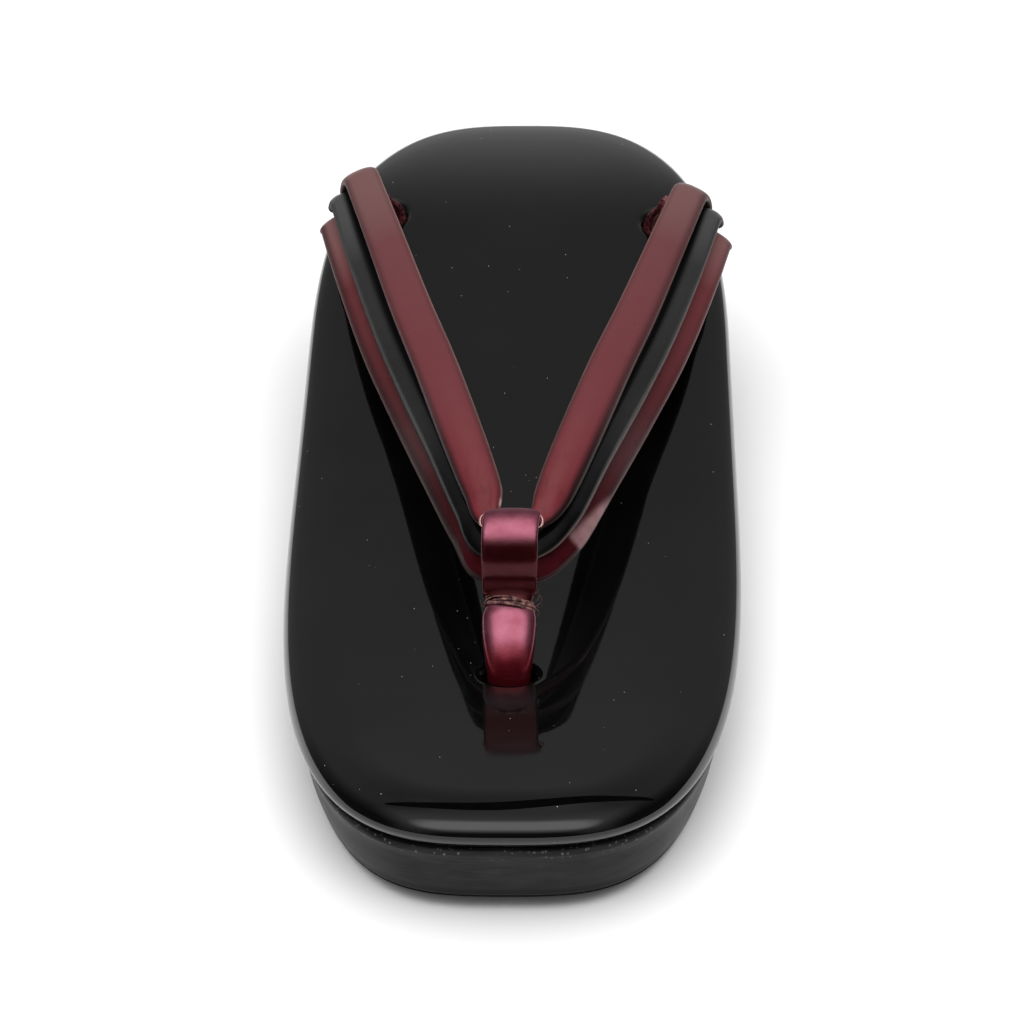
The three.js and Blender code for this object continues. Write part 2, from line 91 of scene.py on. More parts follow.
# Height of the painted shade that darkens the foot of the side, and the band under the top edge where glue
# shows.
SOLE_FOOT = 5.0
GLUE_BAND = {"from": 2.2, "to": 0.9}

# Holes of the footbed: place and half sizes.
HOLES = table(("x", "y", "wide", "long"), (
    (0, -71.6, 4.4, 3.0), (30.1, 79.2, 4.3, 4.3), (-28.9, 82.4, 4.3, 4.3),
))
FRONT_HOLE, REAR_HOLE_RIGHT, REAR_HOLE_LEFT = HOLES
# Funnel of each hole: flare beyond its edge and depth under the footbed's face.
HOLE_FUNNEL = table(("flare", "depth"), (
    (-0.9, 7.0), (-0.3, 3.4), (0.15, 1.5), (0.5, 0.7), (0.9, 0.25), (1.3, 0.05), (1.7, 0),
))

# Soft crease where the flat of the footbed turns down to the toe.
TOE_CREASE = {
    "y": -114.9, "slant": 0.03, "curve": 0.0075, "wave": 0.25, "length": 7.0, "half": 31, "fade": 6,
    "depth": 0.12, "width": 1.5, "run": 26,
}
# Painted shade: a flat matte black strip in the bottom of that crease, and a matte black sleeve over the
# inside of the front hole.
TOE_SHADE_STRIP = {
    "from": -20, "to": 25, "half": 0.9, "thick": 0.05, "tip": 0.05, "bluntness": 0.4, "steps": 120,
    "sides": 10,
}
HOLE_SHADE_SLEEVE = {"flares": (1.6, 1.3, 0.9, 0.5, 0.1, -0.3, -0.6), "sides": 96, "over": 0.04, "under": 0.1}
# Shallow dents of the padding.
DENTS = table(("x", "y", "radius", "depth"), (
    (-26, -92, 9, 0.10), (20, -84, 12, 0.05), (-31, -40, 10, 0.06), (30, -20, 12, 0.05), (4, 96, 14, 0.08),
))

# The strands, from the middle of the loop to the rear of the right side; the left side mirrors it.
STRAND_COLUMNS = ("x", "y", "rise", "tilt", "half", "thick")
STRANDS = {
    "hanao_inner": {
        "rows": table(STRAND_COLUMNS, (
            (0.0, -54.8, 19.4, 12, 1.7, 0.7), (4.7, -51.4, 20.0, 14, 2.4, 0.8),
            (6.6, -44.0, 21.0, 12, 3.6, 1.4), (10.8, -25.0, 20.6, 11, 4.1, 1.5),
            (16.6, 3.0, 17.5, 16, 4.2, 1.45), (22.3, 26.0, 15.4, 17, 4.1, 1.35),
            (28.1, 50.0, 13.5, 18, 3.9, 1.25), (33.3, 70.0, 12.5, 18, 3.7, 1.25),
        )),
        "bend": {"radius": 8.2, "degrees": 72, "tail": 0.5},
        "reach": {"left": 4.0, "right": -1.7},
        "squareness": 2.3,
    },
    "hanao_middle": {
        "rows": table(STRAND_COLUMNS, (
            (0.0, -56.8, 15.9, 38, 2.0, 0.75), (5.4, -54.0, 16.2, 30, 2.2, 1.0),
            (9.1, -45.4, 17.2, 18, 2.4, 1.45), (14.3, -25.6, 16.75, 16, 2.6, 1.6),
            (21.2, 2.4, 12.7, 18, 2.7, 1.75), (27.2, 25.4, 10.4, 19, 2.7, 1.75),
            (32.9, 49.4, 8.5, 20, 2.7, 1.65), (37.2, 68.0, 7.9, 20, 2.7, 1.5),
        )),
        "bend": {"radius": 5.2, "degrees": 60, "tail": 0.3},
        "reach": {"left": 5.0, "right": -0.5},
        "squareness": 2.1,
    },
    "hanao_outer": {
        "rows": table(STRAND_COLUMNS, (
            (0.0, -57.7, 12.6, 60, 2.2, 0.7), (5.5, -55.2, 12.4, 54, 2.7, 0.85),
            (8.8, -46.8, 13.4, 40, 3.6, 1.15), (14.4, -26.4, 13.1, 28, 4.2, 1.25),
            (21.4, 1.8, 8.4, 28, 4.3, 1.25), (28.0, 24.8, 6.2, 28, 4.3, 1.25),
            (34.0, 48.8, 4.3, 27, 4.2, 1.25), (38.2, 65.0, 3.3, 26, 3.6, 1.25),
        )),
        "bend": {"radius": 2.8, "degrees": 45, "tail": 0.3},
        "reach": {"left": 8.0, "right": 2.5},
        "squareness": 2.3,
    },
}
# The legs sit a little to one side of the middle behind the loop, and one leg is drawn further back.
SWAY = {"shift": 1.5, "range": (-59, -44)}
REACH = {"range": (0, 66), "outward": 0.22}
STRAND_STEPS = 22
BEND_STEPS = 14
STRAND_SIDES = 48
STRAND_TIP = {"reach": 0.6, "size": 0.8, "steps": 5}

# Soft ridges and troughs of the strands beside the loop: leg, place across the face from the inner edge (-1)
# to the outer edge (1), middle along the length, reach both ways and height.
CREASE_COLUMNS = ("leg", "across", "y", "wide", "long", "height")
STRAND_CREASES = {
    "hanao_inner": table(CREASE_COLUMNS, (
        (-1, 0.30, -43.5, 0.24, 6.0, 0.42), (-1, -0.25, -45.0, 0.20, 5.0, -0.45),
        (-1, -0.62, -46.5, 0.16, 3.0, 0.28), (-1, 0.05, -49.0, 0.30, 1.6, -0.30),
        (1, -0.45, -40.0, 0.16, 8.0, -0.42), (1, 0.10, -44.0, 0.30, 6.0, 0.36),
        (1, 0.60, -47.0, 0.20, 3.0, -0.26),
    )),
    "hanao_outer": table(CREASE_COLUMNS, (
        (-1, 0.20, -46.0, 0.20, 7.0, -0.26), (1, 0.35, -42.0, 0.22, 9.0, -0.28),
    )),
}
# Stretch of the length where the colours change from those at the loop to those at the rear.
STRAND_TONE = (-55, 75)
# Pale worn lines along the edges of the strands: strength on the left leg and the right leg.
STRAND_WEAR = {
    "hanao_inner": {"inner": (0.4, 0.25), "outer": (0.0, 0.0)},
    "hanao_middle": {"inner": (0.0, 0.0), "outer": (0.0, 0.35)},
    "hanao_outer": {"inner": (0.1, 0.6), "outer": (0.2, 0.4)},
}
WEAR_LINE = {"height": 0.2, "reach": 0.16}
# Painted shade on the sides of the strands: where it begins across the face and its share at the rear
# (left leg, right leg), how wide it blends in, and the stretch of the length where it fades to that share.
SHADED_SIDES = {
    "hanao_inner": {"inner": (0.61, 0.61), "outer": (0.5, 0.4), "rear": (0.5, 0.5)},
    "hanao_middle": {"inner": (0.0, 0.1), "outer": (0.55, 0.55), "rear": (1.0, 1.0)},
    "hanao_outer": {"inner": (0.61, 0.61), "outer": (0.35, 0.5), "rear": (0.7, 0.5)},
}
SHADE_SPAN = 0.45
SHADE_FADE = (-45, 40)
# Height below the middle of the section where the painted shade on the underside is full.
UNDER_SHADE = 0.4
# Flake peeled off an edge beside the loop; heights are shares of the section.
PEELED = {"strand": "hanao_inner", "leg": -1, "y": -49.0, "long": 1.2, "full": 0.25, "none": 0.5}
# Painted satin highlight along the top strand, fading away from the loop.
SATIN_HIGHLIGHT = {"strand": "hanao_inner", "across": -0.2, "wide": 0.45, "range": (-44, 10), "strength": 0.05}
# Painted reflection: a pale patch along the outer half of the lowest strand, right of the loop.
REFLECTION_PATCH = {
    "strand": "hanao_outer", "leg": 1, "front": -48.5, "rear": -29, "soft": 1.5, "fade": 0.7, "inner": -0.1,
    "narrower": 1.1, "blur": 0.2, "outer": 0.94, "strength": 0.55,
}

# Front loop, a flat band seen from the side; heights are over the footbed at the front hole.
LOOP_ROWS = table(("y", "rise", "half"), (
    (-61.6, 10.0, 4.6), (-60.4, 13.2, 4.9), (-59.5, 16.6, 5.0), (-57.9, 19.7, 5.0), (-55.2, 21.8, 5.0),
    (-53.2, 22.2, 4.8), (-51.7, 21.4, 1.9), (-50.4, 19.0, 1.0), (-51.0, 15.6, 1.0), (-53.6, 11.6, 1.6),
    (-57.6, 9.2, 3.0),
))
LOOP_THICK = 0.7
LOOP_STEPS = 20
LOOP_SIDES = 48
LOOP_SQUARENESS = 3

# Stem of the loop, from inside its neck down into the front hole.
STEM_ROWS = table(("y", "rise", "half", "thick"), (
    (-60.2, 10.2, 4.3, 1.3), (-62.0, 9.9, 4.3, 1.8), (-63.6, 9.0, 4.1, 1.9), (-65.6, 7.6, 4.8, 2.2),
    (-68.9, 4.4, 4.6, 2.3), (-71.2, 0.6, 4.0, 2.2), (-71.9, -4.0, 3.7, 2.1), (-72.0, -7.9, 3.5, 2.1),
))
STEM_STEPS = 14
STEM_SIDES = 64
STEM_SQUARENESS = 2.5
# Upright crease in the stem's face: place across it, middle and reach in rows of the stem, height.
STEM_CREASE = {"across": -0.15, "wide": 0.12, "row": 3.9, "rows": 0.8, "height": 0.22}
# Pale cut edge at the back of the loop's top.
RAW_EDGE = {"range": (-54.6, -53.6), "across": 0.97}
# Small pale arcs of the cut edge at the two upper corners of the loop.
LOOP_LIPS = {
    "y": -54.7, "rise": 21.3, "lean": 35, "half": 4.55, "out": 1.0, "long": 1.35, "radius": 0.26, "steps": 16,
    "sides": 10,
}
# Painted shade on the loop's front under its top, by height, and at the neck, by rows of the stem.
LOOP_SHADE = (18.2, 21.0)
STEM_SHADE = (1.6, 2.4)
# Redder leather at the foot of the stem, by rows of the stem.
STEM_RED = (3.6, 4.8)

# Crumpled tie round the neck: turns of thin leather cord beside each other.
BINDING = {
    "row": 2, "clearance": 0.05, "front": 0.3, "slant": -0.11, "thicker": 0.4, "rough": 0.5, "grain": 1.9,
    "apart": 9,
}
BINDING_TURNS = table(("shift", "radius", "wave", "phase"), (
    (-0.62, 0.20, 0.16, 0.3), (-0.25, 0.25, 0.22, 1.9), (0.12, 0.21, 0.2, 4.2), (0.52, 0.17, 0.3, 5.3),
    (0.0, 0.14, 0.62, 2.6), (0.85, 0.09, 0.3, 0.9),
))
BINDING_STEPS = 160
BINDING_SIDES = 12
# Loose hairs of the tie: angle round the neck in degrees, run outwards and along the neck, and outward bow.
TIE_HAIRS = table(("angle", "out", "up", "bend"), (
    (8, 0.9, 2.6, 0.9), (-14, 1.4, 3.3, -0.7), (22, 1.9, 1.3, 0.6), (2, 0.6, -2.0, 0.5), (-24, 1.1, 2.0, 0.8),
    (168, 0.8, 1.5, 0.4),
))
HAIR_RADIUS = 0.05
HAIR_TAPER = 0.6
HAIR_START = 0.3
HAIR_STEPS = 10
HAIR_SIDES = 6

# Gathered leather at each rear hole: outward and rearward of the hole's middle, height, radius.
GATHER_ROWS = table(("x", "y", "rise", "radius"), (
    (0.9, -8.6, 10.8, 1.6), (0.6, -7.6, 8.4, 2.2), (0.4, -5.4, 6.0, 2.8), (0.2, -3.0, 3.6, 3.3),
    (0.1, -1.0, 1.0, 3.5), (0.0, 0.0, -2.0, 3.6), (0.0, 0.0, -7.0, 3.6),
))
GATHER_STEPS = 10
GATHER_SIDES = 120
GATHER_FOLDS = table(("count", "depth", "phase", "twist"), (
    (6, 0.15, 0.0, 0.15), (11, 0.09, 1.2, -0.35), (17, 0.04, 2.5, 0.6),
))

# Colours of the materials in linear light.
PATENT = {
    "deep": (0.0009, 0.0009, 0.001, 1), "paler": (0.0022, 0.0022, 0.0023, 1), "lightened": (0.06, 0.06, 0.061, 1),
    "dust": (0.42, 0.42, 0.41, 1),
}
WRAP = {
    "dark": (0.012, 0.012, 0.0123, 1), "pale": (0.027, 0.027, 0.0275, 1), "foot_shade": (0.004, 0.004, 0.0041, 1),
    "glue": (0.11, 0.11, 0.105, 1),
}
PEARL = {
    "dark": (0.2, 0.042, 0.068, 1), "pale": (0.27, 0.08, 0.122, 1), "low": (0.2, 0.012, 0.022, 1),
    "shade": (0.055, 0.004, 0.0058, 1), "raw": (0.48, 0.26, 0.25, 1),
}
# Matte black of the painted shade strip and sleeve.
SHADE_BLACK = {"dark": (0.0006, 0.0006, 0.0006, 1), "pale": (0.002, 0.002, 0.002, 1)}
TIE = {"dark": (0.02, 0.004, 0.004, 1), "pale": (0.3, 0.14, 0.125, 1)}
PLEATS = {"dark": (0.07, 0.012, 0.016, 1), "pale": (0.34, 0.1, 0.11, 1)}
PAPER = {"dark": (0.78, 0.78, 0.78, 1), "pale": (0.8, 0.8, 0.8, 1)}
# Each strand's piece, slot and material: roughness at the loop, and colours from the loop to the rear end, on
# worn edges and painted highlights, and for painted shade. The paler end colours are a painted
# highlight on the rear bends, and the lowest strand's dark colour at the loop is painted shade.
STRAND_LOOKS = {
    "hanao_inner": {
        "piece": "strand_inner", "slot": "burgundy", "material": "inner_strand", "rough": 0.16,
        "front": (0.118, 0.017, 0.023, 1), "rear": (0.108, 0.037, 0.04, 1), "end": (0.13, 0.063, 0.062, 1),
        "edge": (0.5, 0.3, 0.27, 1), "dark": (0.008, 0.0006, 0.001, 1),
    },
    "hanao_middle": {
        "piece": "strand_middle", "slot": "black_strand", "material": "black_strand", "rough": 0.14,
        "front": (0.002, 0.002, 0.0022, 1), "rear": (0.022, 0.022, 0.0225, 1), "end": (0.05, 0.05, 0.05, 1),
        "edge": (0.45, 0.3, 0.28, 1), "dark": (0.0008, 0.0008, 0.0008, 1),
    },
    "hanao_outer": {
        "piece": "strand_outer", "slot": "burgundy", "material": "outer_strand", "rough": 0.16,
        "front": (0.036, 0.003, 0.005, 1), "rear": (0.115, 0.024, 0.028, 1), "end": (0.16, 0.075, 0.075, 1),
        "edge": (0.42, 0.24, 0.25, 1), "dark": (0.008, 0.0006, 0.001, 1),
    },
}
# Share of a speck's radius that is fully pale.
SPECK_CORE = 0.6

# Camera of the photograph, turned so that the zori is in the middle of the picture.
CAMERA_AT = (13.2, -609.2, 357.5)
CAMERA_TARGET = (-0.5, -14.0, 20.0)
CAMERA_ROLL = -0.6
CAMERA_LENS = 126.6
CAMERA_SENSOR = 36.0

# Stage, in metres: floor, soft lights with the brightness of their faces, and nearest distance in view.
FLOOR_HALF = 8.0
LIGHTS = table(("name", "at", "size", "radiance"), (
    ("key", (0, -0.1, 1.6), (2.6, 2.6), 1.6), ("fill_left", (-1.7, -0.7, 0.8), (1.4, 1.0), 0.7),
    ("fill_right", (1.7, -0.7, 0.8), (1.4, 1.0), 0.3), ("fill_front", (0, -1.8, 0.7), (1.6, 0.8), 0.5),
))
LIGHT_TARGET = (0, 0, 0.02)
NEAREST = 0.01
# Brightness of the room by direction: each ramp's start and end, and its values there.
ROOM = {
    "wall": (0.0, 0.4, 0.36, 0.25), "cove": (0.5, 0.9, 0.0, 0.45), "ceiling": (0.92, 1.06, 0.0, 1.8),
    "front": (-0.9, -0.6, 0.05, 1.0), "sides": (0.5, 0.9, 1.0, 0.12),
}
# Weight of the direction's Y, by which the bright ceiling leans forward.
CEILING_LEAN = -0.6

# Step for directions along a curve, columns of a plain cap, squareness of a circle, height above all pieces.
NUDGE = 0.02
CAP_COLUMNS = 2
ROUND = 2
ABOVE = 200
ACROSS = Vector((1, 0, 0))
DOWN = Vector((0, 0, -1))


def clamp(value, low=0.0, high=1.0):
    return min(high, max(low, value))


def soft_step(value, low, high):
    t = clamp((value - low) / (high - low))
    return t * t * (3 - 2 * t)


def smooth(rows, column, at):
    """Value of one column of a table between its rows, on a smooth curve through all of them."""
    last = len(rows) - 1
    i = int(clamp(at, 0, last - 1))
    t = at - i
    a = rows[i][column]
    b = rows[i + 1][column]
    leaving = (b - rows[i - 1][column]) / 2 if i > 0 else b - a
    arriving = (rows[i + 2][column] - a) / 2 if i + 1 < last else b - a
    t2 = t * t
    t3 = t2 * t
    from_a = a * (2 * t3 - 3 * t2 + 1) + leaving * (t3 - 2 * t2 + t)
    return from_a + b * (3 * t2 - 2 * t3) + arriving * (t3 - t2)


def edge_height(y):
    """Height of the middle of the rolled edge along the length."""
    s = y / LENGTH + 0.5
    r = 1 - s
    toe, front, rear, heel = EDGE_HEIGHT
    return toe * r ** 3 + 3 * front * s * r ** 2 + 3 * rear * s ** 2 * r + heel * s ** 3


def bed_top(y):
    return edge_height(y) + FOOTBED_TOP


def sole_top(y):
    return edge_height(y) - FOOTBED_BOTTOM - SEAM_GAP


def underside(y):
    forward = max(0, (SPRING_START_Y - y) / (SPRING_START_Y + LENGTH / 2))
    return TOE_SPRING * forward ** 2


def sway(y):
    return SWAY["shift"] * soft_step(y, *SWAY["range"])


def half_width(y):
    toe = clamp((BALL_Y - y) / (BALL_Y + LENGTH / 2))
    heel = clamp((y - HEEL_Y) / (LENGTH / 2 - HEEL_Y))
    at_toe = (1 - toe ** TOE_ROUNDNESS) ** (1 / TOE_ROUNDNESS)
    at_heel = (1 - heel ** HEEL_ROUNDNESS) ** (1 / HEEL_ROUNDNESS)
    return HALF_WIDTH * at_toe * at_heel


def heading(curve, at, last):
    """Direction of a curve at a place along it."""
    return (curve(min(at + NUDGE, last)) - curve(max(at - NUDGE, 0))).normalized()


def half_outline(steps):
    """Evenly spaced points of the right half of the outline, toe to heel, each with its inward direction."""
    dense = []
    for k in range(OUTLINE_SAMPLES + 1):
        y = -cos(pi * k / OUTLINE_SAMPLES) * LENGTH / 2
        dense.append(Vector((half_width(y), y)))
    run = [0.0]
    for before, after in zip(dense, dense[1:]):
        run.append(run[-1] + (after - before).length)
    points = []
    k = 0
    for i in range(steps + 1):
        target = run[-1] * i / steps
        while k < OUTLINE_SAMPLES - 1 and run[k + 1] < target:
            k += 1
        points.append(dense[k].lerp(dense[k + 1], (target - run[k]) / (run[k + 1] - run[k])))
    outline = []
    for i, point in enumerate(points):
        before = points[i - 1] if i > 0 else Vector((-points[1].x, points[1].y))
        after = points[i + 1] if i < steps else Vector((-points[steps - 1].x, points[steps - 1].y))
        along = (after - before).normalized()
        outline.append((point, Vector((-along.y, along.x))))
    return outline


def outline_ring(outline, inset):
    """One closed ring of the outline, moved inwards: the right half, then the left half back to the toe."""
    right = [point + inward * inset for point, inward in outline]
    right[0].x = 0
    right[-1].x = 0
    left = [Vector((-q.x, q.y)) for q in reversed(right[1:-1])]
    return right + left


def finer(rows, steps):
    """Places along a table, a number of steps between each two rows."""
    return [k / steps for k in range((len(rows) - 1) * steps + 1)]


def finer_by_row(rows):
    """Places along a table, with each row's own number of steps to the next one."""
    places = [0.0]
    for i, row in enumerate(rows[:-1]):
        places += [i + (k + 1) / row["steps"] for k in range(row["steps"])]
    return places


# Meshes


def skin(ring_count, size, closed=False):
    """Four-sided faces between rings of equal size, one after the other."""
    faces = []
    spans = ring_count if closed else ring_count - 1
    for r in range(spans):
        low = r * size
        high = ((r + 1) % ring_count) * size
        for i in range(size):
            j = (i + 1) % size
            faces.append((low + i, low + j, high + j, high + i))
    return faces


def fan(start, size, tip, flip):
    faces = []
    for i in range(size):
        a = start + i
        b = start + (i + 1) % size
        faces.append((tip, b, a) if flip else (tip, a, b))
    return faces


def tube(rings):
    """Points and faces of rings with a fanned cap at each end."""
    size = len(rings[0])
    points = [q for ring in rings for q in ring]
    faces = skin(len(rings), size)
    for r, flip in ((0, True), (len(rings) - 1, False)):
        middle = sum(rings[r], Vector()) / size
        points.append(middle)
        faces += fan(r * size, size, len(points) - 1, flip)
    return points, faces


def closed_tube(rings):
    return [q for ring in rings for q in ring], skin(len(rings), len(rings[0]), True)


def joined(*meshes):
    points = []
    faces = []
    for more_points, more_faces in meshes:
        start = len(points)
        points += more_points
        faces += [tuple(start + v for v in face) for face in more_faces]
    return points, faces


def by_column(names, rows):
    """Rows of numbers as one list under each name."""
    return dict(zip(names, map(list, zip(*rows))))


def cap_across(points, faces, start, steps, columns, height, flip):
    """Fills the ring that begins at start with a grid of rows from its left to its right side."""
    size = 2 * steps
    rows = []
    for i in range(steps + 1):
        right = start + i
        left = start + (size - i) % size
        if left == right:
            rows.append([right] * (columns + 1))
            continue
        row = [left]
        for k in range(1, columns):
            q = points[left].lerp(points[right], k / columns)
            q.z = height(q.x, q.y)
            points.append(q)
            row.append(len(points) - 1)
        row.append(right)
        rows.append(row)
    for low, high in zip(rows, rows[1:]):
        for k in range(columns):
            corners = list(dict.fromkeys((low[k], low[k + 1], high[k + 1], high[k])))
            faces.append(tuple(reversed(corners)) if flip else tuple(corners))


def oval_ring(centre, wide, thin, half, thick, sides, squareness, swell=None):
    """Flattened oval ring in the plane of two axes; swell moves a point along the thin axis."""
    ring = []
    for k in range(sides):
        angle = 2 * pi * k / sides
        c = cos(angle)
        s = sin(angle)
        a = copysign(abs(c) ** (2 / squareness), c)
        b = copysign(abs(s) ** (2 / squareness), s)
        lift = swell(a, b) if swell else 0.0
        ring.append(centre + wide * (half * a) + thin * (thick * b + lift))
    return ring


def add_piece(name, shape, material, node, values=None):
    """A smooth mesh that stands for a CAD node; values are extra numbers kept for each point."""
    points, faces = shape
    mesh = bpy.data.meshes.new(name)
    mesh.from_pydata([q * MM for q in points], [], faces)
    mesh.polygons.foreach_set("use_smooth", [True] * len(mesh.polygons))
    for key, numbers in (values or {}).items():
        attribute = mesh.attributes.new(key, "FLOAT", "POINT")
        attribute.data.foreach_set("value", numbers + [numbers[-1]] * (len(points) - len(numbers)))
    mesh.update()
    mesh.materials.append(material)
    piece = bpy.data.objects.new(name, mesh)
    scene.collection.objects.link(piece)
    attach(piece, "root")
    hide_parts(node)
    return piece


# Node materials


def new_material(name):
    material = bpy.data.materials.new(name)
    material.use_nodes = True
    tree = material.node_tree
    tree.nodes.clear()
    output = tree.nodes.new("ShaderNodeOutputMaterial")
    shader = tree.nodes.new("ShaderNodeBsdfPrincipled")
    tree.links.new(shader.outputs["BSDF"], output.inputs["Surface"])
    return material, tree, shader


def feed(tree, node, values):
    """Links each named input of a node to an output, or sets it to a plain value."""
    for key, value in values.items():
        if isinstance(value, bpy.types.NodeSocket):
            tree.links.new(value, node.inputs[key])
        else:
            node.inputs[key].default_value = value


def add_node(tree, kind, values):
    node = tree.nodes.new("ShaderNode" + kind)
    feed(tree, node, values)
    return node


def place(tree, stretch=(1, 1, 1)):
    """Coordinates in metres, stretched along the axes."""
    where = add_node(tree, "TexCoord", {}).outputs["Object"]
    return add_node(tree, "Mapping", {"Vector": where, "Scale": stretch}).outputs["Vector"]


def grain(tree, where, size, detail=4.0, rough=0.55):
    """Cloudy noise whose features have about that size in millimetres."""
    values = {"Vector": where, "Scale": 1 / (size * MM), "Detail": detail, "Roughness": rough}
    return add_node(tree, "TexNoise", values).outputs["Fac"]


def specks(tree, where, spacing, radius):
    """One on small dots, nought elsewhere."""
    cells = add_node(tree, "TexVoronoi", {"Vector": where, "Scale": 1 / (spacing * MM)})
    return ramp(tree, cells.outputs["Distance"], SPECK_CORE * radius / spacing, radius / spacing, 1, 0)


def ramp(tree, value, low, high, at_low=0.0, at_high=1.0):
    """Straight change from at_low to at_high while the value goes from low to high."""
    values = {"Value": value, "From Min": low, "From Max": high, "To Min": at_low, "To Max": at_high}
    return add_node(tree, "MapRange", values).outputs["Result"]


def maths(tree, operation, a, b):
    node = tree.nodes.new("ShaderNodeMath")
    node.operation = operation
    feed(tree, node, {0: a, 1: b})
    return node.outputs["Value"]


def times(tree, a, b):
    return maths(tree, "MULTIPLY", a, b)


def blend(tree, factor, a, b):
    """Colour between a and b."""
    node = tree.nodes.new("ShaderNodeMix")
    node.data_type = "RGBA"
    feed(tree, node, {"Factor": factor, "A": a, "B": b})
    return node.outputs["Result"]


def stored(tree, name):
    """Numbers kept for the points of a piece."""
    node = tree.nodes.new("ShaderNodeAttribute")
    node.attribute_name = name
    return node.outputs["Fac"]


def bump(tree, shader, height, depth, before=None):
    """Bump of a depth in millimetres; returns its normal so that another can follow it."""
    node = add_node(tree, "Bump", {"Distance": depth * MM, "Height": height})
    if before is not None:
        feed(tree, node, {"Normal": before})
    feed(tree, shader, {"Normal": node.outputs["Normal"]})
    return node.outputs["Normal"]


def patent_material():
    """Black patent leather: mirror gloss, slight orange peel, dust, faint smears and a painted reflection
    that pales the heel.
    """
    material, tree, shader = new_material("patent_leather")
    where = place(tree)
    dust = specks(tree, where, spacing=3.2, radius=0.1)
    haze = ramp(tree, grain(tree, where, 24), 0.35, 0.75)
    tint = blend(tree, haze, PATENT["deep"], PATENT["paler"])
    # Painted reflection: the heel is paled towards grey.
    tint = blend(tree, stored(tree, "heelward"), tint, PATENT["lightened"])
    gloss = ramp(tree, grain(tree, where, 9), 0.3, 0.8, 0.03, 0.06)
    feed(tree, shader, {
        "Base Color": blend(tree, dust, tint, PATENT["dust"]),
        "Roughness": maths(tree, "MAXIMUM", gloss, times(tree, dust, 0.6)),
        "IOR": 1.5,
    })
    broad = bump(tree, shader, grain(tree, where, 16, detail=1.0), depth=0.02)
    bump(tree, shader, grain(tree, where, 1.3, detail=2.0), depth=0.0022, before=broad)
    return material


def plain_material(name, size, colours, rough, specular):
    """Dull material with faint clouds of a size in millimetres."""
    material, tree, shader = new_material(name)
    feed(tree, shader, {
        "Base Color": blend(tree, grain(tree, place(tree), size), colours["dark"], colours["pale"]),
        "Roughness": rough, "Specular IOR Level": specular,
    })
    return material


def wrap_material():
    """Dark satin leather pulled round the sole: grain, level streaks, painted shade at the foot and glue
    at the top.
    """
    material, tree, shader = new_material("sole_wrap")
    where = place(tree)
    streak = grain(tree, place(tree, stretch=(0.12, 0.12, 1)), 0.7, detail=3.0)
    cloud = grain(tree, where, 11)
    tone = maths(tree, "ADD", times(tree, streak, 0.5), times(tree, cloud, 0.5))
    tint = blend(tree, ramp(tree, tone, 0.35, 0.65), WRAP["dark"], WRAP["pale"])
    # Painted shade darkening the side towards the floor.
    tint = blend(tree, stored(tree, "foot_shade"), tint, WRAP["foot_shade"])
    glue = times(tree, stored(tree, "top_edge"), specks(tree, where, spacing=1.0, radius=0.26))
    feed(tree, shader, {
        "Base Color": blend(tree, glue, tint, WRAP["glue"]),
        "Roughness": ramp(tree, cloud, 0.3, 0.7, 0.3, 0.44),
        "Specular IOR Level": 0.1,
    })
    soft = bump(tree, shader, streak, depth=0.03)
    bump(tree, shader, grain(tree, where, 0.45, detail=2.0), depth=0.012, before=soft)
    return material


def strand_material(look):
    """Strand leather: colour from the loop to the rear, painted shade on the sides and in the wrinkles,
    pale worn edges with painted highlights and a painted reflection, soft blotches.
    """
    material, tree, shader = new_material(look["material"])
    where = place(tree)
    blotch = grain(tree, where, 7)
    wrinkle = ramp(tree, grain(tree, place(tree, stretch=(1, 0.2, 1)), 1.5, detail=2.0), 0.5, 0.68)
    far = stored(tree, "rearward")
    side = stored(tree, "side")
    fade = ramp(tree, maths(tree, "ADD", far, times(tree, blotch, 0.25)), 0.1, 1.15)
    # Painted shade in the wrinkles near the loop.
    wrinkle_shade = times(tree, ramp(tree, far, 0.0, 0.12, 0.2, 0), wrinkle)
    # Colours from the loop to the rear; the lowest strand's dark colour at the loop is painted shade.
    tint = blend(tree, fade, look["front"], look["rear"])
    # Painted highlight on the rear bends.
    tint = blend(tree, ramp(tree, far, 0.9, 1.0), tint, look["end"])
    tint = blend(tree, wrinkle_shade, tint, look["dark"])
    # Painted shade on the sides and the underside.
    tint = blend(tree, side, tint, look["dark"])
    # Pale worn edges with painted highlights and a painted reflection, from the stored edge values.
    lightened = ramp(tree, grain(tree, where, 3), 0.3, 0.6, 0.75, 1)
    lightened = times(tree, stored(tree, "edge"), lightened)
    satin = ramp(tree, fade, 0, 1, look["rough"], look["rough"] + 0.2)
    feed(tree, shader, {
        "Base Color": blend(tree, lightened, tint, look["edge"]),
        "Metallic": 0.05,
        "Roughness": maths(tree, "ADD", satin, times(tree, side, 0.3)),
        "Specular IOR Level": 0.14, "Coat Weight": 0.05, "Coat Roughness": 0.14,
    })
    soft = bump(tree, shader, blotch, depth=0.05)
    bump(tree, shader, grain(tree, where, 0.5, detail=2.0), depth=0.006, before=soft)
    return material


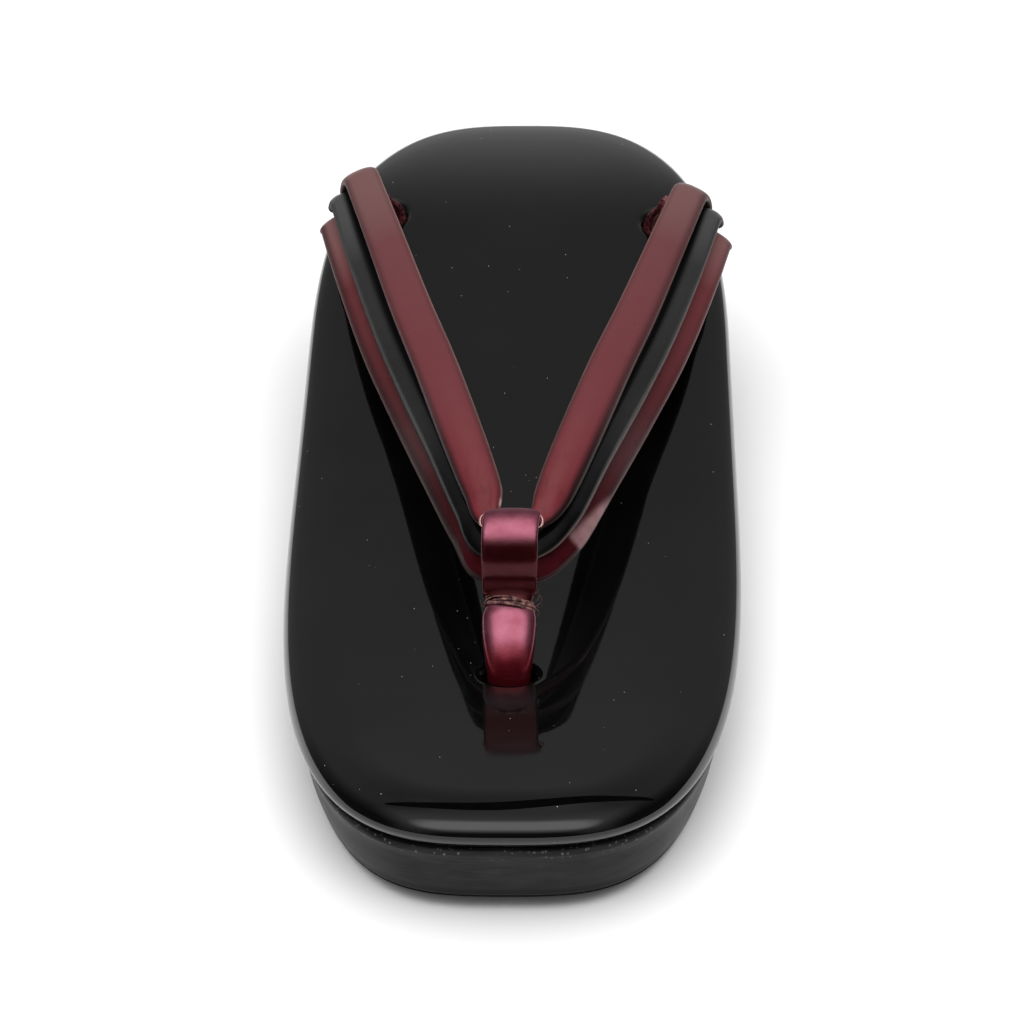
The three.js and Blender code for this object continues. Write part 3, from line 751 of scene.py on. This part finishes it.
def pearl_material():
    """Pearly red leather of the loop and stem: painted shade on the front and at the neck, redder foot
    and pale cut edges.
    """
    material, tree, shader = new_material("pearl_leather")
    where = place(tree)
    blotch = grain(tree, where, 3.2)
    tint = blend(tree, ramp(tree, blotch, 0.3, 0.7), PEARL["dark"], PEARL["pale"])
    tint = blend(tree, stored(tree, "low"), tint, PEARL["low"])
    # Painted shade on the loop's front and the stem's neck.
    tint = blend(tree, stored(tree, "shade"), tint, PEARL["shade"])
    feed(tree, shader, {
        "Base Color": blend(tree, stored(tree, "raw"), tint, PEARL["raw"]),
        "Metallic": 0.85,
        "Roughness": ramp(tree, blotch, 0.3, 0.7, 0.2, 0.28),
        "Coat Weight": 0.2, "Coat Roughness": 0.12,
    })
    soft = bump(tree, shader, blotch, depth=0.06)
    bump(tree, shader, grain(tree, where, 0.4, detail=2.0), depth=0.006, before=soft)
    return material


def crumple_material(name, colours):
    """Crumpled scrap of strand leather: painted shade in the folds and painted highlights on the ridges."""
    material, tree, shader = new_material(name)
    crease = grain(tree, place(tree), 1.1, detail=5.0, rough=0.65)
    feed(tree, shader, {
        "Base Color": blend(tree, ramp(tree, crease, 0.42, 0.66), colours["dark"], colours["pale"]),
        "Metallic": 0.25,
        "Roughness": ramp(tree, crease, 0.3, 0.7, 0.5, 0.32),
    })
    bump(tree, shader, crease, depth=0.16)
    return material


# Sole and footbed


def build_sole():
    outline = half_outline(SOLE_STEPS)
    points = []
    marks = []
    for at in finer(SOLE_RINGS, SOLE_RING_STEPS):
        share = clamp(smooth(SOLE_RINGS, "share", at))
        rise = smooth(SOLE_RINGS, "rise", at)
        for q in outline_ring(outline, smooth(SOLE_RINGS, "inset", at)):
            low = underside(q.y)
            high = sole_top(q.y)
            z = max(low, low + (high - low) * share + rise)
            points.append(Vector((q.x, q.y, min(z, high))))
            top_edge = soft_step(z, high - GLUE_BAND["from"], high - GLUE_BAND["to"])
            marks.append((top_edge, 1 - soft_step(z, low, low + SOLE_FOOT)))
    size = 2 * SOLE_STEPS
    faces = skin(len(points) // size, size)
    last = len(points) - size
    cap_across(points, faces, 0, SOLE_STEPS, CAP_COLUMNS, lambda x, y: underside(y), True)
    cap_across(points, faces, last, SOLE_STEPS, CAP_COLUMNS, lambda x, y: sole_top(y), False)
    values = by_column(("top_edge", "foot_shade"), marks)
    add_piece("wrapped_sole", (points, faces), wrap_material(), "sole", values)


def funnel_depth(x, y):
    """How far the footbed's face is drawn in at the holes."""
    depth = 0.0
    for hole in HOLES:
        dx = x - hole["x"]
        dy = y - hole["y"]
        away = hypot(dx, dy)
        oval = hypot(dx / hole["wide"], dy / hole["long"])
        flare = away * (1 - 1 / oval) if oval > 0 else -hole["long"]
        if flare < HOLE_FUNNEL[-1]["flare"]:
            depth += funnel_at(flare)
    return depth


def funnel_at(flare):
    row = 0
    while row < len(HOLE_FUNNEL) - 2 and flare > HOLE_FUNNEL[row + 1]["flare"]:
        row += 1
    low = HOLE_FUNNEL[row]["flare"]
    high = HOLE_FUNNEL[row + 1]["flare"]
    return max(0.0, smooth(HOLE_FUNNEL, "depth", row + clamp((flare - low) / (high - low))))


def crease_line(x):
    """Place of the toe's crease along the length."""
    line = TOE_CREASE["y"] + TOE_CREASE["slant"] * x + TOE_CREASE["curve"] * x * x
    return line + TOE_CREASE["wave"] * sin(x / TOE_CREASE["length"])


def toe_shade_strip(tree):
    """Painted shade: a flat matte black strip along the toe's crease, pointed at both ends."""
    rings = []
    for k in range(TOE_SHADE_STRIP["steps"] + 1):
        t = k / TOE_SHADE_STRIP["steps"]
        x = TOE_SHADE_STRIP["from"] + (TOE_SHADE_STRIP["to"] - TOE_SHADE_STRIP["from"]) * t
        hit, normal, _, _ = tree.ray_cast(Vector((x, crease_line(x), ABOVE)), DOWN)
        half = TOE_SHADE_STRIP["half"] * max(TOE_SHADE_STRIP["tip"], sin(pi * t) ** TOE_SHADE_STRIP["bluntness"])
        back = normal.cross(ACROSS).normalized()
        rings.append(oval_ring(hit, back, normal, half, TOE_SHADE_STRIP["thick"], TOE_SHADE_STRIP["sides"], ROUND))
    return tube(rings)


def hole_shade_sleeve(tree, hole):
    """Painted shade: a thin matte black sleeve on a hole's funnel, down its face and back on the inside."""
    flares = HOLE_SHADE_SLEEVE["flares"]
    rows = [(flare, HOLE_SHADE_SLEEVE["over"]) for flare in flares]
    rows += [(flare, -HOLE_SHADE_SLEEVE["under"]) for flare in reversed(flares)]
    rings = []
    for flare, lift in rows:
        ring = []
        for k in range(HOLE_SHADE_SLEEVE["sides"]):
            angle = 2 * pi * k / HOLE_SHADE_SLEEVE["sides"]
            c = cos(angle)
            s = sin(angle)
            away = 1 / hypot(c / hole["wide"], s / hole["long"]) + flare
            x = hole["x"] + away * c
            y = hole["y"] + away * s
            hit, _, _, _ = tree.ray_cast(Vector((x, y, ABOVE)), DOWN)
            ring.append(hit + Vector((0, 0, lift)))
        rings.append(ring)
    return closed_tube(rings)


def face_dent(x, y):
    """Everything that lowers the footbed's face: holes, the crease across the toe and soft dents."""
    line = crease_line(x)
    ends = 1 - soft_step(abs(x), TOE_CREASE["half"] - TOE_CREASE["fade"], TOE_CREASE["half"])
    width = TOE_CREASE["width"]
    behind = soft_step(y - line, -width, width) * (1 - soft_step(y - line, width, TOE_CREASE["run"]))
    crease = TOE_CREASE["depth"] * ends * behind
    soft = 0.0
    for dent in DENTS:
        soft += dent["depth"] * exp(-((x - dent["x"]) ** 2 + (y - dent["y"]) ** 2) / dent["radius"] ** 2)
    return funnel_depth(x, y) + crease + soft


def build_footbed():
    outline = half_outline(FOOTBED_STEPS)
    points = []
    for at in finer_by_row(FOOTBED_RINGS):
        at_side = smooth(FOOTBED_RINGS, "side", at)
        at_toe = smooth(FOOTBED_RINGS, "toe", at)
        at_heel = smooth(FOOTBED_RINGS, "heel", at)
        for q in outline_ring(outline, max(0.0, smooth(FOOTBED_RINGS, "inset", at))):
            at_end = at_toe if q.y < 0 else at_heel
            share = soft_step(abs(q.y), *FOOTBED_ENDS)
            rise = at_side + (at_end - at_side) * share
            sunk = face_dent(q.x, q.y) * soft_step(at_side, *DENT_START)
            points.append(Vector((q.x, q.y, edge_height(q.y) + rise - sunk)))
    size = 2 * FOOTBED_STEPS
    faces = skin(len(points) // size, size)
    last = len(points) - size
    cap_across(
        points, faces, 0, FOOTBED_STEPS, CAP_COLUMNS, lambda x, y: edge_height(y) - FOOTBED_BOTTOM, True,
    )
    cap_across(
        points, faces, last, FOOTBED_STEPS, FOOTBED_COLUMNS,
        lambda x, y: bed_top(y) - face_dent(x, y), False,
    )
    tree = BVHTree.FromPolygons(points, faces)
    shape = joined((points, faces), toe_shade_strip(tree), hole_shade_sleeve(tree, FRONT_HOLE))
    # Share of the painted reflection on the heel at each point.
    paler = [soft_step(q.y, *HEEL_SHEEN) ** 2 for q in shape[0]]
    piece = add_piece("patent_footbed", shape, patent_material(), "footbed", {"heelward": paler})
    # Matte black on the painted shade strip and sleeve.
    piece.data.materials.append(plain_material("painted_shade_black", 2.0, SHADE_BLACK, rough=0.7, specular=0.0))
    for polygon in piece.data.polygons[len(faces):]:
        polygon.material_index = 1


# Thong


def stretched(rows, side, reach):
    """Rows of one leg, drawn back by the leg's own reach towards their end."""
    leg = []
    for row in rows:
        extra = reach * soft_step(row["y"], *REACH["range"])
        leg.append({**row, "x": side * (row["x"] + REACH["outward"] * extra), "y": row["y"] + extra})
    return leg


def strand_frames(rows, bend, reach):
    """Centre, axes and sizes along a strand, for both sides and the bends at their ends."""
    full = stretched(rows[1:], -1, reach["left"])[::-1] + stretched(rows, 1, reach["right"])
    last = len(full) - 1

    def centre_at(at):
        y = smooth(full, "y", at)
        return Vector((smooth(full, "x", at) + sway(y), y, bed_top(y) + smooth(full, "rise", at)))

    frames = []
    for at in finer(full, STRAND_STEPS):
        along = heading(centre_at, at, last)
        out = Vector((along.y, -along.x, 0)).normalized()
        row = {"centre": centre_at(at), "along": along, "out": out, "up": out.cross(along)}
        row.update({key: smooth(full, key, at) for key in ("tilt", "half", "thick")})
        frames.append(row)

    def bent(frame_row, sign):
        turned = []
        away = frame_row["along"] * sign
        up = frame_row["up"]
        for k in range(1, BEND_STEPS + 1):
            angle = radians(bend["degrees"]) * k / BEND_STEPS
            centre = frame_row["centre"] + away * (bend["radius"] * sin(angle))
            centre = centre - up * (bend["radius"] * (1 - cos(angle)))
            ahead = away * cos(angle) - up * sin(angle)
            turned_up = up * cos(angle) + away * sin(angle)
            turned.append({**frame_row, "centre": centre, "along": ahead, "up": turned_up})
        end = turned[-1]
        for k in range(STRAND_TIP["steps"] + 1):
            t = k / STRAND_TIP["steps"]
            run = bend["tail"] + end["thick"] * STRAND_TIP["reach"] * sin(t * pi / 2)
            size = 1 - (1 - STRAND_TIP["size"]) * (1 - cos(t * pi / 2))
            centre = end["centre"] + end["along"] * run
            turned.append({**end, "centre": centre, "half": end["half"] * size, "thick": end["thick"] * size})
        return turned

    return bent(frames[0], -1)[::-1] + frames + bent(frames[-1], 1)


def crease_lift(name, centre):
    """Function that raises the upper face of a strand at its ridges and lowers it at its troughs."""
    creases = [row for row in STRAND_CREASES.get(name, ()) if row["leg"] * centre.x > 0]

    def lift(a, b):
        total = 0.0
        for row in creases:
            across = (a - row["across"]) / row["wide"]
            along = (centre.y - row["y"]) / row["long"]
            total += row["height"] * exp(-across * across - along * along)
        return total * max(0.0, b)

    return lift


def wear_and_sheen(name, centre, angle):
    """How pale a strand is at a place round its section: worn edge lines and a peeled flake, with a painted
    satin highlight and a painted reflection patch.
    """
    across = cos(angle)
    height = sin(angle)
    strength = STRAND_WEAR[name]["outer" if across > 0 else "inner"][0 if centre.x < 0 else 1]
    lightened = strength * exp(-((height - WEAR_LINE["height"]) / WEAR_LINE["reach"]) ** 2)
    # Painted satin highlight.
    if name == SATIN_HIGHLIGHT["strand"]:
        near = 1 - soft_step(centre.y, *SATIN_HIGHLIGHT["range"])
        middle = exp(-((across - SATIN_HIGHLIGHT["across"]) / SATIN_HIGHLIGHT["wide"]) ** 2)
        lightened = max(lightened, SATIN_HIGHLIGHT["strength"] * near * middle * max(0.0, height))
    if name == PEELED["strand"] and centre.x * PEELED["leg"] > 0 and across < 0:
        along = exp(-((centre.y - PEELED["y"]) / PEELED["long"]) ** 2)
        lightened = max(lightened, along * (1 - soft_step(abs(height), PEELED["full"], PEELED["none"])))
    # Painted reflection patch.
    if name == REFLECTION_PATCH["strand"] and centre.x * REFLECTION_PATCH["leg"] > 0 and height > 0:
        t = clamp((centre.y - REFLECTION_PATCH["front"]) / (REFLECTION_PATCH["rear"] - REFLECTION_PATCH["front"]))
        along = soft_step(centre.y, REFLECTION_PATCH["front"], REFLECTION_PATCH["front"] + REFLECTION_PATCH["soft"])
        along *= 1 - soft_step(t, REFLECTION_PATCH["fade"], 1)
        inner_edge = REFLECTION_PATCH["inner"] + REFLECTION_PATCH["narrower"] * t
        inside = soft_step(across, inner_edge - REFLECTION_PATCH["blur"], inner_edge + REFLECTION_PATCH["blur"])
        inside *= 1 - soft_step(across, REFLECTION_PATCH["outer"], 1.0)
        lightened = max(lightened, REFLECTION_PATCH["strength"] * along * inside)
    return lightened


def build_strand(name, look):
    strand = STRANDS[name]
    frames = strand_frames(strand["rows"], strand["bend"], strand["reach"])
    rings = []
    marks = []
    for row in frames:
        centre = row["centre"]
        slope = radians(row["tilt"])
        wide = row["out"] * cos(slope) - row["up"] * sin(slope)
        thin = row["out"] * sin(slope) + row["up"] * cos(slope)
        rings.append(oval_ring(
            centre, wide, thin, row["half"], row["thick"], STRAND_SIDES, strand["squareness"],
            crease_lift(name, centre),
        ))
        far = soft_step(centre.y, *STRAND_TONE)
        leg = 0 if centre.x < 0 else 1
        # Share of painted shade round the section.
        dark = SHADED_SIDES[name]
        faded = soft_step(centre.y, *SHADE_FADE)
        near = 1 - (1 - dark["rear"][leg]) * faded
        for k in range(STRAND_SIDES):
            angle = 2 * pi * k / STRAND_SIDES
            across = cos(angle)
            begin = dark["outer" if across > 0 else "inner"][leg]
            turned = near * soft_step(abs(across), begin, begin + SHADE_SPAN)
            under = soft_step(-sin(angle), 0.0, UNDER_SHADE)
            marks.append((far, wear_and_sheen(name, centre, angle), max(turned, under)))
    values = by_column(("rearward", "edge", "side"), marks)
    piece = add_piece(look["piece"], tube(rings), strand_material(look), name, values)


def build_loop():
    """Loop and stem, one folded strip."""
    bed = bed_top(FRONT_HOLE["y"])
    count = len(LOOP_ROWS)
    # Rows repeated before and after the loop's own, so that its curve closes.
    lead = 2
    trail = 3
    wrapped = LOOP_ROWS[-lead:] + LOOP_ROWS + LOOP_ROWS[:trail]

    def loop_centre(at):
        y = smooth(wrapped, "y", at)
        return Vector((sway(y), y, bed + smooth(wrapped, "rise", at)))

    loop_rings = []
    marks = []
    for k in range(count * LOOP_STEPS):
        at = lead + k / LOOP_STEPS
        thin = ACROSS.cross(heading(loop_centre, at, len(wrapped) - 1))
        half = smooth(wrapped, "half", at)
        centre = loop_centre(at)
        loop_rings.append(oval_ring(centre, ACROSS, thin, half, LOOP_THICK, LOOP_SIDES, LOOP_SQUARENESS))
        behind = soft_step(centre.y, *RAW_EDGE["range"])
        shade = 1 - soft_step(centre.z - bed, *LOOP_SHADE)
        for side in range(LOOP_SIDES):
            across = abs(cos(2 * pi * side / LOOP_SIDES))
            marks.append((behind * soft_step(across, RAW_EDGE["across"], 1), shade, 0.0))
    stem_rings = []
    for at in finer(STEM_ROWS, STEM_STEPS):
        centre, thin, half, thick = stem_frame(at)
        stem_rings.append(oval_ring(
            centre, ACROSS, thin, half, thick, STEM_SIDES, STEM_SQUARENESS, stem_lift(at),
        ))
        marks += [(0.0, 1 - soft_step(at, *STEM_SHADE), soft_step(at, *STEM_RED))] * STEM_SIDES
    shape = joined(closed_tube(loop_rings), tube(stem_rings))
    marks += [(0.0, 0.0, 0.0)] * (len(shape[0]) - len(marks))
    shape = joined(shape, *loop_lips(bed))
    marks += [(1.0, 0.0, 0.0)] * (len(shape[0]) - len(marks))
    values = by_column(("raw", "shade", "low"), marks)
    add_piece("front_loop", shape, pearl_material(), "maetsubo", values)


def loop_lips(bed):
    """Pale cut edges that stand out as small arcs at the two upper corners of the loop."""
    lean = radians(LOOP_LIPS["lean"])
    along = Vector((0, cos(lean), sin(lean)))
    face = ACROSS.cross(along)
    radius = LOOP_LIPS["radius"]
    lips = []
    for side in (-1, 1):
        rings = []
        for k in range(LOOP_LIPS["steps"] + 1):
            turn = pi * (k / LOOP_LIPS["steps"] - 0.5)
            reach = LOOP_LIPS["half"] + LOOP_LIPS["out"] * cos(turn)
            y = LOOP_LIPS["y"]
            middle = Vector((sway(y) + side * reach, y, bed + LOOP_LIPS["rise"]))
            middle = middle + along * (LOOP_LIPS["long"] * sin(turn))
            rings.append(oval_ring(middle, ACROSS, face, radius, radius, LOOP_LIPS["sides"], ROUND))
        lips.append(tube(rings))
    return lips


def stem_lift(at):
    """Function that presses the stem's face in along its upright crease."""
    def lift(a, b):
        across = (a - STEM_CREASE["across"]) / STEM_CREASE["wide"]
        along = (at - STEM_CREASE["row"]) / STEM_CREASE["rows"]
        return STEM_CREASE["height"] * exp(-across * across - along * along) * abs(b)

    return lift


def stem_frame(at):
    """Centre, thin axis, half width and half thickness of the stem at a place along its rows."""
    bed = bed_top(FRONT_HOLE["y"])

    def centre_at(t):
        return Vector((0, smooth(STEM_ROWS, "y", t), bed + smooth(STEM_ROWS, "rise", t)))

    thin = ACROSS.cross(heading(centre_at, at, len(STEM_ROWS) - 1))
    return centre_at(at), thin, smooth(STEM_ROWS, "half", at), smooth(STEM_ROWS, "thick", at)


def build_binding():
    """Turns of crumpled cord round the neck."""
    centre, thin, half, thick = stem_frame(BINDING["row"])
    axis = ACROSS.cross(thin)
    turns = []
    for turn in BINDING_TURNS:
        rings = []
        reach = half + BINDING["clearance"] + turn["radius"]
        front = thick + BINDING["front"] + turn["radius"]
        for k in range(BINDING_STEPS):
            angle = 2 * pi * k / BINDING_STEPS
            away = ACROSS * cos(angle) + thin * sin(angle)
            wave = turn["shift"] + turn["wave"] * sin(2 * angle + turn["phase"])
            wave += BINDING["slant"] * reach * cos(angle)
            middle = centre + ACROSS * (reach * cos(angle)) + thin * (front * sin(angle))
            middle = middle + axis * wave
            grain_at = middle * BINDING["grain"] + Vector((0, 0, BINDING["apart"] * turn["phase"]))
            rough = BINDING["rough"] * noise.noise(grain_at)
            radius = turn["radius"] * (1 + rough + BINDING["thicker"] * cos(angle))
            rings.append(oval_ring(middle, away, axis, radius, radius, BINDING_SIDES, ROUND))
        turns.append(closed_tube(rings))
    for hair in TIE_HAIRS:
        angle = radians(hair["angle"])
        away = ACROSS * cos(angle) + thin * sin(angle)
        start = centre + ACROSS * (half * cos(angle)) + thin * (thick * sin(angle))
        rings = []
        for k in range(HAIR_STEPS + 1):
            t = k / HAIR_STEPS
            middle = start + away * (HAIR_START + hair["out"] * t) + axis * (hair["up"] * t)
            middle = middle + away * (hair["bend"] * sin(pi * t))
            radius = HAIR_RADIUS * (1 - HAIR_TAPER * t)
            rings.append(oval_ring(middle, ACROSS, thin, radius, radius, HAIR_SIDES, ROUND))
        turns.append(tube(rings))
    material = crumple_material("tie_leather", TIE)
    add_piece("neck_tie", joined(*turns), material, "maetsubo_binding")


def build_gather(name, piece_name, hole, material):
    """Pleated leather drawn down into a rear hole."""
    sign = copysign(1, hole["x"])
    rings = []
    for at in finer(GATHER_ROWS, GATHER_STEPS):
        y = hole["y"] + smooth(GATHER_ROWS, "y", at)
        x = abs(hole["x"]) + smooth(GATHER_ROWS, "x", at)
        radius = smooth(GATHER_ROWS, "radius", at)
        z = bed_top(y) + smooth(GATHER_ROWS, "rise", at)
        ring = []
        for k in range(GATHER_SIDES):
            angle = 2 * pi * k / GATHER_SIDES
            fold = radius
            for row in GATHER_FOLDS:
                turn = row["count"] * angle + row["phase"] + row["twist"] * at
                fold += radius * row["depth"] * cos(turn)
            px = sign * (x + fold * cos(angle))
            ring.append(Vector((px, y + fold * sin(angle), z)))
        rings.append(ring if sign > 0 else ring[::-1])
    add_piece(piece_name, tube(rings), material, name)


# Floor, light and camera


def build_floor():
    half = FLOOR_HALF
    mesh = bpy.data.meshes.new("floor")
    corners = [(-half, -half, 0), (half, -half, 0), (half, half, 0), (-half, half, 0)]
    mesh.from_pydata(corners, [], [(0, 1, 2, 3)])
    mesh.materials.append(plain_material("pale_floor", 40, PAPER, rough=0.85, specular=0.2))
    floor = bpy.data.objects.new("floor", mesh)
    scene.collection.objects.link(floor)


def aim(thing, at, target, roll=0):
    """Puts a light or the camera into the scene, turned towards a target."""
    thing.location = at
    thing.rotation_mode = "QUATERNION"
    turn = (Vector(target) - Vector(at)).to_track_quat("-Z", "Y")
    thing.rotation_quaternion = turn @ Quaternion((0, 0, 1), radians(roll))
    scene.collection.objects.link(thing)


def add_light(row):
    """Soft rectangular light that does not show in the gloss."""
    wide, deep = row["size"]
    data = bpy.data.lights.new(row["name"], "AREA")
    data.shape = "RECTANGLE"
    data.size = wide
    data.size_y = deep
    data.energy = row["radiance"] * pi * wide * deep
    light = bpy.data.objects.new(row["name"], data)
    light.visible_glossy = False
    aim(light, row["at"], LIGHT_TARGET)


def build_light():
    world = bpy.data.worlds.new("studio")
    scene.world = world
    world.use_nodes = True
    tree = world.node_tree
    direction = add_node(tree, "TexCoord", {}).outputs["Generated"]
    axes = add_node(tree, "SeparateXYZ", {"Vector": direction}).outputs
    wall = ramp(tree, axes["Z"], *ROOM["wall"])
    overhead = maths(tree, "ADD", axes["Z"], times(tree, axes["Y"], CEILING_LEAN))
    cove = ramp(tree, overhead, *ROOM["cove"])
    ceiling = maths(tree, "ADD", cove, ramp(tree, overhead, *ROOM["ceiling"]))
    front = ramp(tree, axes["Y"], *ROOM["front"])
    sides = ramp(tree, maths(tree, "ABSOLUTE", axes["X"], 0), *ROOM["sides"])
    room = times(tree, maths(tree, "ADD", wall, ceiling), times(tree, front, sides))
    feed(tree, tree.nodes["Background"], {"Color": (1, 1, 1, 1), "Strength": room})
    for row in LIGHTS:
        add_light(row)


def build_camera():
    data = bpy.data.cameras.new("camera")
    data.sensor_width = CAMERA_SENSOR
    data.lens = CAMERA_LENS
    data.clip_start = NEAREST
    camera = bpy.data.objects.new("camera", data)
    aim(camera, Vector(CAMERA_AT) * MM, Vector(CAMERA_TARGET) * MM, CAMERA_ROLL)
    scene.camera = camera


build_camera()
build_light()
build_floor()
build_sole()
build_footbed()
for strand_name, strand_look in STRAND_LOOKS.items():
    build_strand(strand_name, strand_look)
build_loop()
build_binding()
pleats = crumple_material("pleat_leather", PLEATS)
build_gather("rear_gather_left", "pleats_left", REAR_HOLE_LEFT, pleats)
build_gather("rear_gather_right", "pleats_right", REAR_HOLE_RIGHT, pleats)

scene.view_settings.view_transform = "Standard"
